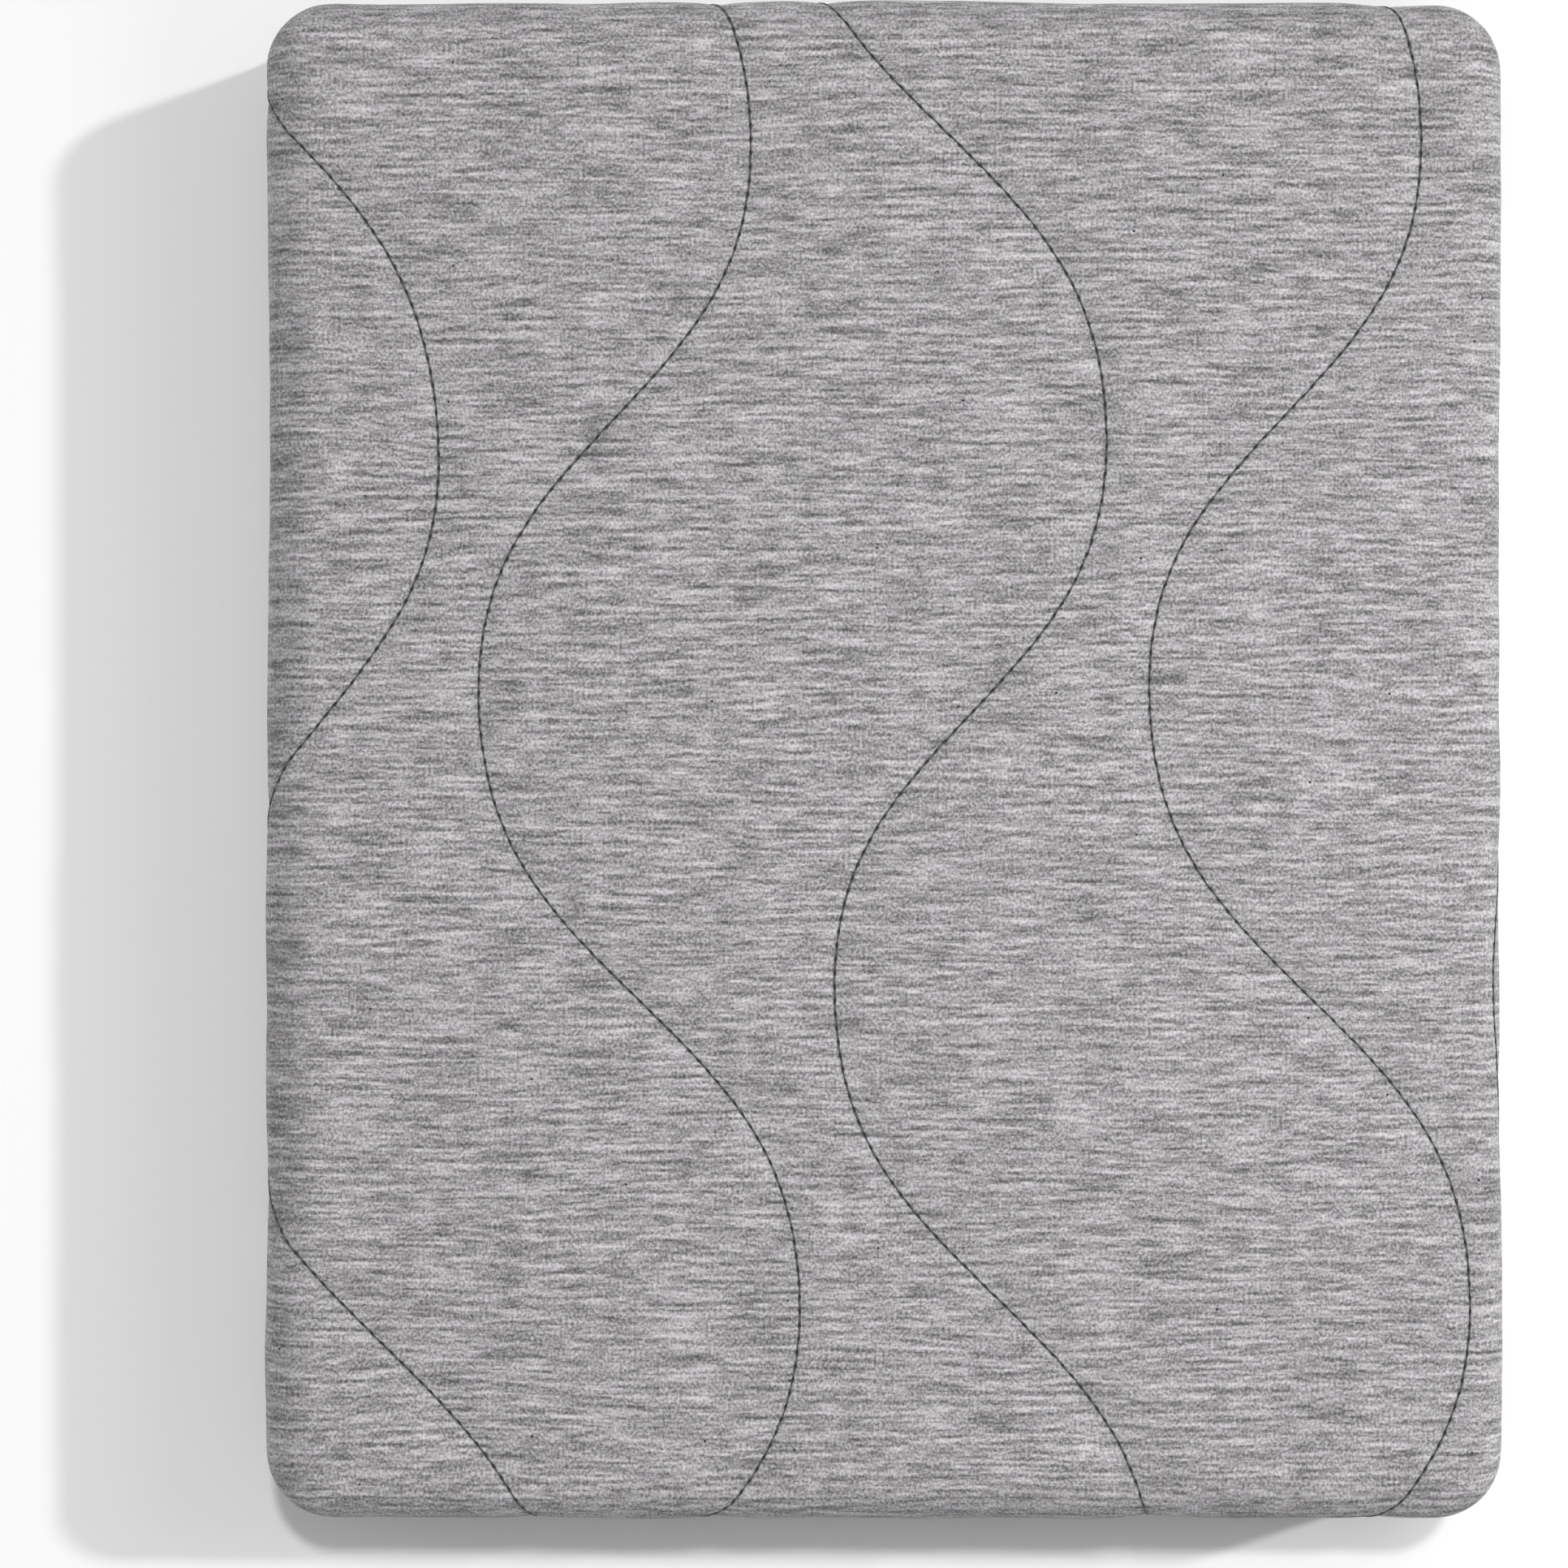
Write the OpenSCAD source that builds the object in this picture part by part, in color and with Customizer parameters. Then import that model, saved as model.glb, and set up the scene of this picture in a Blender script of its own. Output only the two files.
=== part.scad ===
// Memory foam mattress with a removable quilted knit cover.
// Origin: middle of the underside. +X is the sleeper's right, +Y the head, +Z up. Millimetres.
// Insets are counted inwards from the outer face of the quilted cover.

/* [Mattress] */
// Width across the cover
mattress_w = 1620; // [900:10:2000]
// Length from head to foot
mattress_l = 1988; // [1880:1:2200]
// Finished height, stitches included
mattress_h = 250; // [200:5:320]
// Radius of the four corners seen from above
corner_r = 90; // [70:5:120]
// Radius of the rolled top edge
edge_r = 36; // [28:1:44]
// Radius of the bottom edge of the underside panel
base_edge_r = 15; // [12:1:18]

/* [Foam core] */
// Memory foam comfort layer
memory_t = 40; // [30:5:70]
// Transition layer between comfort and support
transition_t = 40; // [20:5:60]
// Stretch knit fire sock around the core
sock_t = 1; // [0.8:0.1:1.5]

/* [Quilted cover] */
// Outer heather knit
knit_t = 1.5; // [1:0.1:2]
// Soft fibre fill quilted to the knit
fill_t = 10; // [9:0.5:12]
// Thin backing cloth that the quilting thread holds
backing_t = 0.8; // [0.6:0.1:1]
// Height of the bound hem along the cover's lower edge
hem_h = 4; // [3:0.5:6]
// How far above the floor the hem starts
hem_z = 56; // [54:1:60]

/* [Quilting] */
// Width of a stitched line
thread_w = 2.6; // [1.5:0.1:4]
// Height of the thread over the knit
thread_t = 0.6; // [0.4:0.1:1]
// Length of one full wave
wave_length = 1512; // [1200:4:1800]
// Half of the wave's side to side travel
wave_depth = 203; // [150:1:240]

/* [Underside and zipper] */
// Underside panel cloth
panel_t = 1.8; // [1.4:0.1:2]
// Height of the panel's upturned rim
rim_h = 36; // [30:1:36]
// Height of the zipper's middle line
zip_z = 45; // [44.5:0.5:46]
// Zipper tape thickness
tape_t = 0.8; // [0.6:0.1:0.9]
// Length of the slider's travel along the foot side
slider_travel = 1300; // [600:10:1300]

/* [Hidden] */
$fn = 64;
over = 1; // how far a cutting tool runs past what it cuts

// Layers, from the outside in
slip = 0.5; // gap that lets the cover lift off the core
snug = 0.2; // gap between pieces that lie against each other
fill_in = knit_t;
backing_in = fill_in + fill_t;
cavity_in = backing_in + backing_t;
sock_in = cavity_in + slip;
foam_in = sock_in + sock_t + snug;
panel_in = sock_in - snug - panel_t;
tape_in = panel_in - tape_t;

// Heights, from the floor up
knit_top = mattress_h - thread_t;
fill_top = knit_top - knit_t;
backing_top = fill_top - fill_t;
cavity_top = backing_top - backing_t;
sock_top = cavity_top - slip;
foam_top = sock_top - sock_t - snug;
sock_z = panel_t + snug;
foam_z = sock_z + sock_t + snug;
memory_z = foam_top - memory_t;
transition_z = memory_z - transition_t;
wall_z = hem_z + hem_h;

// Fire sock opening where its end is tucked under the core
tuck = [1200, 180];
tuck_edge = 100; // from the foot end to the opening

// Zipper: two coils with a gap between them that the slider's post runs in
coil_h = 3;
coil_t = 2.5;
coil_gap = 1.2;
coil_in = tape_in - coil_t;
tape_z = rim_h - 8;
binding_t = 0.8;
binding_h = 6;
chain_end = [676, 692]; // where the chain stops and starts again, along the foot side
stop_l = 3;

// Fabric tab sewn over the chain's ends
tab_l = 32;
tab_x = 668;
tab_t = 1;
tab_z = [33.5, 39.5, 52]; // bottom, end of the sewn part, free top edge
tab_clear = 0.3;

// Blank care label on the left side, near the foot
label = [60, 20, 0.5];
label_y = -700;

// Slider
slider_x = 655;
slider_l = 14;
slider_half = 5; // half of its height
plate_t = [1.4, 1.2]; // front and back plates
plate_gap = 0.4; // running clearance to the coils and tapes
lip = 1;
post = [2.5, 0.6];
front_in = coil_in - plate_gap - plate_t[0];
back_in = tape_in + tape_t + plate_gap;
bar_r = 0.6;
bar_z = zip_z + 1.5;
arm = [0.9, 1.6]; // width and height of each arm that holds the bar
barrel_r = 1.25;
barrel_l = 3.8;
bore_r = bar_r + 0.08;
bar_in = front_in - barrel_r - 0.25;
pull_l = 26;
pull_w = 7;
pull_t = 1.5;

// Quilting lines: place of each across the mattress, and its first crest along it
line_x = [-729, -332, 114, 539];
crest_y = [452, 822, 438, 826]; // odd and even lines are out of step
wave_lean = [-0.101, -0.042, -0.042, -0.042]; // slow sideways drift towards the head
wave_stretch = [1.067, 1, 1, 1]; // the line nearest the left side has longer waves
wave_third = -0.054; // share of the third harmonic, which gives rounder crests
line_step = 28; // distance between points along a line

// Half sizes at an inset
function half_w(inset) = mattress_w / 2 - inset;
function half_l(inset) = mattress_l / 2 - inset;
function plan_r(inset) = corner_r - inset;

// Sideways place of quilting line i at height y up the mattress
function wave_x(i, y) =
    let (turn = 360 * (y - crest_y[i]) / (wave_length * wave_stretch[i]))
    line_x[i] + wave_lean[i] * y + wave_depth * (cos(turn) + wave_third * cos(3 * turn));

// Outline of the mattress from above, at an inset
module plan(inset) {
    r = plan_r(inset);
    square([2 * half_w(inset), 2 * (half_l(inset) - r)], center = true);
    square([2 * (half_w(inset) - r), 2 * half_l(inset)], center = true);
    for (sx = [-1, 1], sy = [-1, 1])
        translate([sx * (half_w(inset) - r), sy * (half_l(inset) - r)]) circle(r);
}

// Quarter of a disc, to the right of and above its centre
module quarter(r) {
    intersection() {
        circle(r);
        square(r);
    }
}

// Upright section of an edge, `wide` from side to side, with round top and bottom corners
module edge_section(wide, z0, z1, r_top, r_bottom) {
    translate([0, z0]) square([wide - max(r_top, r_bottom), z1 - z0]);
    translate([0, z0 + r_bottom]) square([wide, z1 - r_top - z0 - r_bottom]);
    if (r_top > 0) {
        translate([0, z0 + r_bottom]) square([wide - r_top, z1 - z0 - r_bottom]);
        translate([wide - r_top, z1 - r_top]) quarter(r_top);
    }
    if (r_bottom > 0) {
        translate([0, z0]) square([wide - r_bottom, z1 - r_top - z0]);
        translate([wide - r_bottom, z0 + r_bottom]) mirror([0, 1]) quarter(r_bottom);
    }
}

// Block with the mattress's outline at an inset and rolled edges
module slab(inset, z0, z1, r_top = 0, r_bottom = 0) {
    r = plan_r(inset);
    x = half_w(inset) - r;
    y = half_l(inset) - r;
    translate([-x, -y, z0]) cube([2 * x, 2 * y, z1 - z0]);
    for (side = [0, 180]) rotate([0, 0, side]) {
        translate([x, y, 0]) rotate([90, 0, 0])
            linear_extrude(2 * y) edge_section(r, z0, z1, r_top, r_bottom);
        translate([-x, y, 0]) rotate([90, 0, 90])
            linear_extrude(2 * x) edge_section(r, z0, z1, r_top, r_bottom);
        translate([x, y, 0])
            rotate_extrude(angle = 90) edge_section(r, z0, z1, r_top, r_bottom);
        translate([-x, y, 0]) rotate([0, 0, 90])
            rotate_extrude(angle = 90) edge_section(r, z0, z1, r_top, r_bottom);
    }
}

// Open-bottomed layer of the cover between two insets
module cover_layer(outer_in, thick, top) {
    difference() {
        slab(outer_in, wall_z, top, edge_r - outer_in);
        slab(outer_in + thick, wall_z - over, top - thick, edge_r - outer_in - thick);
    }
}

// Band right round the mattress
module band(outer_in, thick, z0, z1) {
    translate([0, 0, z0]) linear_extrude(z1 - z0) difference() {
        plan(outer_in);
        plan(outer_in + thick);
    }
}

// Place on the foot side: x along it, y inwards from the cover's outer face
module at_foot(x) {
    translate([x, -mattress_l / 2, 0]) children();
}

// One coil of the zipper, parted at the chain's ends
module coil(z0) {
    difference() {
        band(coil_in, coil_t, z0, z0 + coil_h);
        at_foot(chain_end[0]) translate([0, coil_in - over, z0 - over])
            cube([chain_end[1] - chain_end[0], coil_t + 2 * over, coil_h + 2 * over]);
    }
}

// Crimped stop at the end of a coil
module stop(z0) {
    at_foot(chain_end[0]) translate([0, coil_in, z0]) cube([stop_l, coil_t, coil_h]);
}

module quilt_thread(i) {
    y0 = half_l(edge_r);
    steps = ceil(2 * y0 / line_step);
    rows = [for (k = [0 : steps]) -y0 + 2 * y0 * k / steps];
    color("#2f2f33") translate([0, 0, knit_top]) linear_extrude(thread_t) intersection() {
        polygon(concat([for (y = rows) [wave_x(i, y) - thread_w / 2, y]],
                       [for (k = [steps : -1 : 0]) [wave_x(i, rows[k]) + thread_w / 2, rows[k]]]));
        plan(edge_r);
    }
}

module support_core() {
    color("#f1efe6") slab(foam_in, foam_z, transition_z, 0, base_edge_r - foam_in + panel_in);
}

module transition_foam() {
    color("#dfe8ea") slab(foam_in, transition_z, memory_z);
}

module memory_foam() {
    color("#bcd3dc") slab(foam_in, memory_z, foam_top, edge_r - foam_in);
}

module fire_sock() {
    r_bottom = base_edge_r - sock_in + panel_in;
    color("#f4f3ee") difference() {
        slab(sock_in, sock_z, sock_top, edge_r - sock_in, r_bottom);
        slab(sock_in + sock_t, sock_z + sock_t, sock_top - sock_t,
             edge_r - sock_in - sock_t, r_bottom - sock_t);
        translate([-tuck[0] / 2, -half_l(0) + tuck_edge, 0])
            cube([tuck[0], tuck[1], sock_z + sock_t + over]);
    }
}

module base_panel() {
    color("#55565b") difference() {
        slab(panel_in, 0, rim_h, 0, base_edge_r);
        slab(panel_in + panel_t, panel_t, rim_h + over, 0, base_edge_r - panel_t);
    }
}

module base_binding() {
    color("#6f7076") band(tape_in - binding_t, binding_t, tape_z - 1, tape_z - 1 + binding_h);
}

module zip_tape_lower() {
    color("#5b5c61") band(tape_in, tape_t, tape_z, zip_z - coil_gap / 2);
}

module zip_tape_upper() {
    color("#5b5c61") band(tape_in, tape_t, zip_z + coil_gap / 2, hem_z);
}

module zip_coil_lower() {
    color("#3c3d41") coil(zip_z - coil_gap / 2 - coil_h);
}

module zip_coil_upper() {
    color("#3c3d41") coil(zip_z + coil_gap / 2);
}

module zip_stop_lower() {
    color("silver") stop(zip_z - coil_gap / 2 - coil_h);
}

module zip_stop_upper() {
    color("silver") stop(zip_z + coil_gap / 2);
}

module zip_end_tab() {
    face_in = coil_in - tab_clear - tab_t;
    color("#5b5c61") at_foot(tab_x) {
        translate([0, face_in, tab_z[0]]) cube([tab_l, tab_t, tab_z[2] - tab_z[0]]);
        translate([0, face_in, tab_z[0]]) cube([tab_l, tape_in - face_in, tab_z[1] - tab_z[0]]);
    }
}

module care_label() {
    color("white") translate([-half_w(panel_in), label_y, tape_z - label[1]])
        mirror([1, 0, 0]) cube([label[2], label[0], label[1]]);
}

module knit_cover() {
    color("#a7a4a7") cover_layer(0, knit_t, knit_top);
}

module quilt_fill() {
    color("white") cover_layer(fill_in, fill_t, fill_top);
}

module quilt_backing() {
    color("#e9e9e9") cover_layer(backing_in, backing_t, backing_top);
}

module cover_hem() {
    color("#8f8d91") band(0, cavity_in, hem_z, wall_z);
}

// Outline of a slider plate: full height at the nose, narrower at the tail
module slider_outline(shrink = 0) {
    nose = slider_l / 2;
    h = slider_half - shrink;
    polygon([[-nose, -h + 1], [2 - nose, -h], [nose - 2, -h], [nose, -h + 2],
             [nose, h - 2], [nose - 2, h], [2 - nose, h], [-nose, h - 1]]);
}

// Extrusion along +Y of an outline drawn in X and Z about the slider's middle
module plate(y0, thick) {
    translate([0, y0 + thick, zip_z]) rotate([90, 0, 0]) linear_extrude(thick) children();
}

module zip_slider() {
    color("silver") at_foot(slider_x) {
        plate(front_in, plate_t[0]) slider_outline();
        plate(back_in, plate_t[1]) slider_outline();
        // Lips that hold the coils in, with a slot between them for the tapes
        for (side = [-1, 1])
            plate(front_in, tape_in - plate_gap - front_in)
                translate([-slider_l / 2 + 2, side * (slider_half - lip / 2) - lip / 2])
                    square([slider_l - 4, lip]);
        // Post that parts the coils at the nose
        plate(front_in, back_in + plate_t[1] - front_in)
            translate([slider_l / 2 - 1 - post[0], -post[1] / 2]) square(post);
        // Bridge that the pull hangs on
        for (side = [-1, 1])
            translate([side * (barrel_l + 2 * snug + arm[0]) / 2 - arm[0] / 2, bar_in, bar_z - arm[1] / 2])
                cube([arm[0], front_in - bar_in + snug, arm[1]]);
        translate([0, bar_in, bar_z]) rotate([0, 90, 0])
            cylinder(r = bar_r, h = barrel_l + 2 * snug + 2 * arm[0], center = true, $fn = 32);
    }
}

module zip_pull() {
    color("#9a9b9f") at_foot(slider_x) translate([0, bar_in, bar_z]) difference() {
        union() {
            rotate([0, 90, 0]) cylinder(r = barrel_r, h = barrel_l, center = true, $fn = 32);
            translate([0, pull_t / 2, 0]) rotate([90, 0, 0]) linear_extrude(pull_t) difference() {
                union() {
                    translate([-barrel_l / 2, -pull_w]) square([barrel_l, pull_w]);
                    translate([-pull_w / 2, pull_w / 2 - pull_l]) square([pull_w, pull_l - pull_w]);
                    translate([0, pull_w / 2 - pull_l]) circle(pull_w / 2);
                }
                translate([0, pull_w / 2 - pull_l]) circle(pull_w / 4);
            }
        }
        rotate([0, 90, 0]) cylinder(r = bore_r, h = barrel_l + over, center = true, $fn = 32);
    }
}

support_core();
transition_foam();
memory_foam();
fire_sock();
base_panel();
base_binding();
zip_tape_lower();
zip_coil_lower();
zip_stop_lower();
zip_end_tab();
care_label();
knit_cover();
quilt_fill();
quilt_backing();
quilt_thread(0);  // quilt_thread_1
quilt_thread(1);  // quilt_thread_2
quilt_thread(2);  // quilt_thread_3
quilt_thread(3);  // quilt_thread_4
cover_hem();
zip_tape_upper();
zip_coil_upper();
zip_stop_upper();
zip_slider();
zip_pull();
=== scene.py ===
"""Looks of a memory foam mattress: quilted heather knit cover, zipper, underside and foam core.

Lengths are in metres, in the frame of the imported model: +X right, +Y head, +Z up.
Fabric places are flat coordinates on the knit before it is folded down over the edges.
"""
import math

import bpy
import numpy as np
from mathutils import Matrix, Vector
from mathutils.bvhtree import BVHTree


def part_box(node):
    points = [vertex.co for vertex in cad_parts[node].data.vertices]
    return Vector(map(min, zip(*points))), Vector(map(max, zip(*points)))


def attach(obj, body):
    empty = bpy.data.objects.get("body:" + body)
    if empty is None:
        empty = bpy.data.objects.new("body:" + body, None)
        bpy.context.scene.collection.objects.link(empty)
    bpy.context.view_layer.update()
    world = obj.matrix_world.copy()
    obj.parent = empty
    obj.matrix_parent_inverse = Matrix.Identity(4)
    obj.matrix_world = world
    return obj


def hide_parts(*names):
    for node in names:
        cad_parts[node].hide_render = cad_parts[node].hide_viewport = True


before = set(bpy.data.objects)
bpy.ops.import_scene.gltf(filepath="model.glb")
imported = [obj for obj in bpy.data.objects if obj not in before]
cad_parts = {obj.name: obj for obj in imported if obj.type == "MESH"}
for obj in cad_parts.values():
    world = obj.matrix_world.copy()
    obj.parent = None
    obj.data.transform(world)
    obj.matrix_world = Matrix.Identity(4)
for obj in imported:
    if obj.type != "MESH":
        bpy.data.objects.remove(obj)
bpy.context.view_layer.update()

MM = 0.001

# ---------------------------------------------------------------- sizes from the CAD nodes


def node_box(name):
    """Lowest and highest corner of a CAD node, as arrays."""
    low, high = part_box(name)
    return np.array(low), np.array(high)


HALF_W, HALF_L, KNIT_TOP = node_box("knit_cover")[1]
CORNER_R = 90 * MM  # plan radius of the corners, as in the CAD model
EDGE_R = 36 * MM  # radius of the rolled top edge
HEM_TOP = node_box("cover_hem")[1][2]
BACK_HIGH = node_box("quilt_backing")[1]
BACKING = (HALF_W - BACK_HIGH[0], BACK_HIGH[2])  # inset and top of the cloth under the fill


# ---------------------------------------------------------------- quilting lines

WAVE_LENGTH = 1.512  # crest to crest, along Y
WAVE_DEPTH = 0.203
WAVE_THIRD = -0.054  # share of the third harmonic, which flattens the crests
LINE_X = [-0.729, -0.332, 0.114, 0.539, 0.980]  # the last one runs down the right side
CREST_Y = [0.452, 0.822, 0.438, 0.826, 0.438]  # every second line is out of step
WAVE_LEAN = [-0.101, -0.042, -0.042, -0.042, -0.042]  # shift in X for each metre of Y
WAVE_STRETCH = [1.067, 1.0, 1.0, 1.0, 1.0]  # wave length as a share of WAVE_LENGTH
LINES = range(len(LINE_X))


def wave_rate(line):
    """Angle of a line's wave for each metre of Y."""
    return 2 * math.pi / (WAVE_LENGTH * WAVE_STRETCH[line])


def wave_x(line, t):
    """X of a quilting line on the flat fabric, where its Y is t."""
    turn = wave_rate(line) * (t - CREST_Y[line])
    wave = np.cos(turn) + WAVE_THIRD * np.cos(3 * turn)
    return LINE_X[line] + WAVE_LEAN[line] * t + WAVE_DEPTH * wave


def wave_slope(line, t):
    """Slope of wave_x in t."""
    turn = wave_rate(line) * (t - CREST_Y[line])
    wave = -np.sin(turn) - 3 * WAVE_THIRD * np.sin(3 * turn)
    return WAVE_LEAN[line] + WAVE_DEPTH * wave_rate(line) * wave


NEWTON_STEPS = 6
DAMPING = 0.7


def seam_distance(s, t):
    """Signed distance from fabric places to the nearest quilting line."""
    best = np.full(s.shape, 1.0)
    for line in LINES:
        foot = t.copy()
        for _ in range(NEWTON_STEPS):  # towards the nearest point of the line
            slope = wave_slope(line, foot)
            gap = s - wave_x(line, foot)
            foot = foot + DAMPING * (gap * slope + t - foot) / (1 + slope * slope)
        across = s - wave_x(line, foot)
        distance = np.hypot(across, t - foot) * np.sign(across)
        best = np.where(np.abs(distance) < np.abs(best), distance, best)
    return best


def ripple(s, t, size, seed):
    """Smooth seeded variation between about -1 and 1, with features of the given size."""
    random = np.random.default_rng(seed)
    total = np.zeros(s.shape)
    waves = 9
    for _ in range(waves):
        angle = random.uniform(0, 2 * math.pi)
        rate = 2 * math.pi / (size * random.uniform(0.7, 1.6))
        phase = random.uniform(0, 2 * math.pi)
        total += np.sin(rate * (s * math.cos(angle) + t * math.sin(angle)) + phase)
    return total / math.sqrt(waves)


# ---------------------------------------------------------------- outline and mesh grids


def side_points(count, along, across):
    """Points of one side of the outline, from mid corner to mid corner.

    Gives centres and outward normals for a side that runs along +X and faces +Y.
    """
    arc = CORNER_R * math.pi / 4
    straight = 2 * (along - CORNER_R)
    place = np.linspace(0, 2 * arc + straight, count + 1)
    left = place < arc
    right = place > arc + straight
    angle = np.full(count + 1, math.pi / 2)
    angle[left] = math.pi / 2 + (arc - place[left]) / CORNER_R
    angle[right] = math.pi / 2 - (place[right] - arc - straight) / CORNER_R
    centre_x = np.clip(place - arc, 0, straight) - straight / 2
    centre = np.column_stack([centre_x, np.full(count + 1, across - CORNER_R)])
    return centre, np.column_stack([np.cos(angle), np.sin(angle)])


def turned(points, quarter):
    """Points turned by quarter turns, anticlockwise."""
    for _ in range(quarter % 4):
        points = np.column_stack([-points[:, 1], points[:, 0]])
    return points


def outline(nx, ny):
    """The whole outline, anticlockwise from the lower left corner: centres and normals."""
    centres = []
    normals = []
    for quarter, count, along, across in (
        (2, nx, HALF_W, HALF_L),
        (3, ny, HALF_L, HALF_W),
        (0, nx, HALF_W, HALF_L),
        (1, ny, HALF_L, HALF_W),
    ):
        centre, normal = side_points(count, along, across)
        centres.append(turned(centre[::-1], quarter)[:-1])
        normals.append(turned(normal[::-1], quarter)[:-1])
    return np.vstack(centres), np.vstack(normals)


def at_inset(centres, normals, inset):
    """The outline drawn in by an inset."""
    return centres + normals * (CORNER_R - inset)


def cap_grid(ring, nx, ny):
    """Coons patch inside a closed ring of 2 (nx + ny) points, as an (ny + 1, nx + 1) grid."""
    low = ring[: nx + 1]
    right = ring[nx : nx + ny + 1]
    high = ring[nx + ny : 2 * nx + ny + 1][::-1]
    left = np.vstack([ring[2 * nx + ny :], ring[:1]])[::-1]
    u = np.linspace(0, 1, nx + 1)[None, :, None]
    v = np.linspace(0, 1, ny + 1)[:, None, None]
    edges = (1 - v) * low[None] + v * high[None] + (1 - u) * left[:, None] + u * right[:, None]
    corners = (1 - u) * (1 - v) * low[0] + u * (1 - v) * low[-1]
    corners = corners + (1 - u) * v * high[0] + u * v * high[-1]
    return edges - corners


def grid_quads(index):
    """Faces between the points of a grid of indices."""
    return np.column_stack([index[:-1, :-1].ravel(), index[:-1, 1:].ravel(),
                            index[1:, 1:].ravel(), index[1:, :-1].ravel()])


def grid_rim(index):
    """The rim of a grid of indices, anticlockwise from its first point."""
    return np.concatenate([index[0, :-1], index[:-1, -1], index[-1, :0:-1], index[:0:-1, 0]])


def slab_mesh(inset, low, high, r_top, r_bottom, cells, rows, closed):
    """Vertices, faces, flat fabric places and last ring of a block with rolled edges.

    The top is a grid of cells = (across, along), the sides are rings: rows = (top roll, wall,
    bottom roll). closed adds the same grid underneath.
    """
    nx, ny = cells
    roll, wall, foot = rows
    centres, normals = outline(nx, ny)
    index = np.arange((nx + 1) * (ny + 1)).reshape(ny + 1, nx + 1)
    rim = grid_rim(index)
    ring = at_inset(centres, normals, inset + r_top)
    top = cap_grid(ring, nx, ny).reshape(-1, 2)
    verts = [np.column_stack([top, np.full(len(top), high)])]
    places = [top]
    faces = [grid_quads(index)]
    rings = [(r_top * math.sin(a), high - r_top * (1 - math.cos(a)), r_top * a)
             for a in np.linspace(0, math.pi / 2, roll + 1)[1:]]
    wall_top = high - r_top
    for k in range(1, wall + 1):
        drop = (wall_top - low - r_bottom) * k / wall
        rings.append((r_top, wall_top - drop, r_top * math.pi / 2 + drop))
    run = rings[-1][2]
    for a in np.linspace(0, math.pi / 2, foot + 1)[1:]:
        out = r_top - r_bottom * (1 - math.cos(a))
        rings.append((out, low + r_bottom * (1 - math.sin(a)), run + r_bottom * a))
    previous = rim
    start = len(top)
    for out, z, run in rings:
        here = ring + normals * out
        verts.append(np.column_stack([here, np.full(len(here), z)]))
        places.append(ring + normals * run)
        current = np.arange(start, start + len(here))
        faces.append(np.column_stack([previous, current, np.roll(current, -1),
                                      np.roll(previous, -1)]))
        previous = current
        start += len(here)
    if closed:
        under = cap_grid(here, nx, ny).reshape(-1, 2)
        inner = np.ones(len(under), bool)
        inner[rim] = False
        number = np.empty(len(under), int)
        number[rim] = previous
        number[inner] = np.arange(start, start + inner.sum())
        verts.append(np.column_stack([under[inner], np.full(inner.sum(), low)]))
        places.append(under[inner])
        grid = number[index]
        faces.append(np.column_stack([grid[1:, :-1].ravel(), grid[1:, 1:].ravel(),
                                      grid[:-1, 1:].ravel(), grid[:-1, :-1].ravel()]))
    return np.vstack(verts), np.vstack(faces), np.vstack(places), previous


def linked(name, data):
    """A new object in the scene."""
    obj = bpy.data.objects.new(name, data)
    bpy.context.scene.collection.objects.link(obj)
    return obj


def new_object(name, verts, faces, material=None, smooth=True):
    mesh = bpy.data.meshes.new(name)
    mesh.from_pydata(np.asarray(verts).tolist(), [], [list(map(int, f)) for f in faces])
    mesh.update()
    if smooth:
        mesh.polygons.foreach_set("use_smooth", np.ones(len(mesh.polygons), bool))
    if material is not None:
        mesh.materials.append(material)
    return linked(name, mesh)


def set_vectors(obj, name, values):
    """Stores one vector per vertex, for the material to read."""
    values = np.asarray(values, np.float32)
    if values.shape[1] == 2:
        values = np.column_stack([values, np.zeros(len(values), np.float32)])
    layer = obj.data.attributes.new(name, "FLOAT_VECTOR", "POINT")
    layer.data.foreach_set("vector", values.ravel())


def rows_of(items, name):
    """One row of three numbers for each item of a mesh."""
    values = np.empty(len(items) * 3, np.float32)
    items.foreach_get(name, values)
    return values.reshape(-1, 3).astype(float)


def get_vectors(mesh, name):
    return rows_of(mesh.attributes[name].data, "vector")


def get_points(mesh):
    return rows_of(mesh.vertices, "co")


def set_points(mesh, points):
    mesh.vertices.foreach_set("co", np.asarray(points, np.float32).ravel())
    mesh.update()


def get_normals(mesh):
    return rows_of(mesh.vertex_normals, "vector")


def applied(obj):
    """Replaces an object's mesh by the result of its modifiers."""
    graph = bpy.context.evaluated_depsgraph_get()
    mesh = bpy.data.meshes.new_from_object(obj.evaluated_get(graph), depsgraph=graph)
    obj.modifiers.clear()
    obj.data = mesh


# ---------------------------------------------------------------- materials


def node(tree, kind, inputs=None, **settings):
    made = tree.nodes.new("ShaderNode" + kind)
    for key, value in settings.items():
        setattr(made, key, value)
    for key, value in (inputs or {}).items():
        if isinstance(value, bpy.types.NodeSocket):
            tree.links.new(value, made.inputs[key])
        else:
            made.inputs[key].default_value = value
    return made


def new_material(name, roughness, **shader):
    """A material with one Principled shader; constants go straight onto its sockets."""
    material = bpy.data.materials.new(name)
    material.use_nodes = True
    tree = material.node_tree
    surface = tree.nodes["Principled BSDF"]
    surface.inputs["Roughness"].default_value = roughness
    for key, value in shader.items():
        surface.inputs[key.replace("_", " ")].default_value = value
    return material, tree, surface


def maths(tree, operation, *values, clamp=False):
    made = node(tree, "Math", dict(enumerate(values)), operation=operation, use_clamp=clamp)
    return made.outputs[0]


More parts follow.
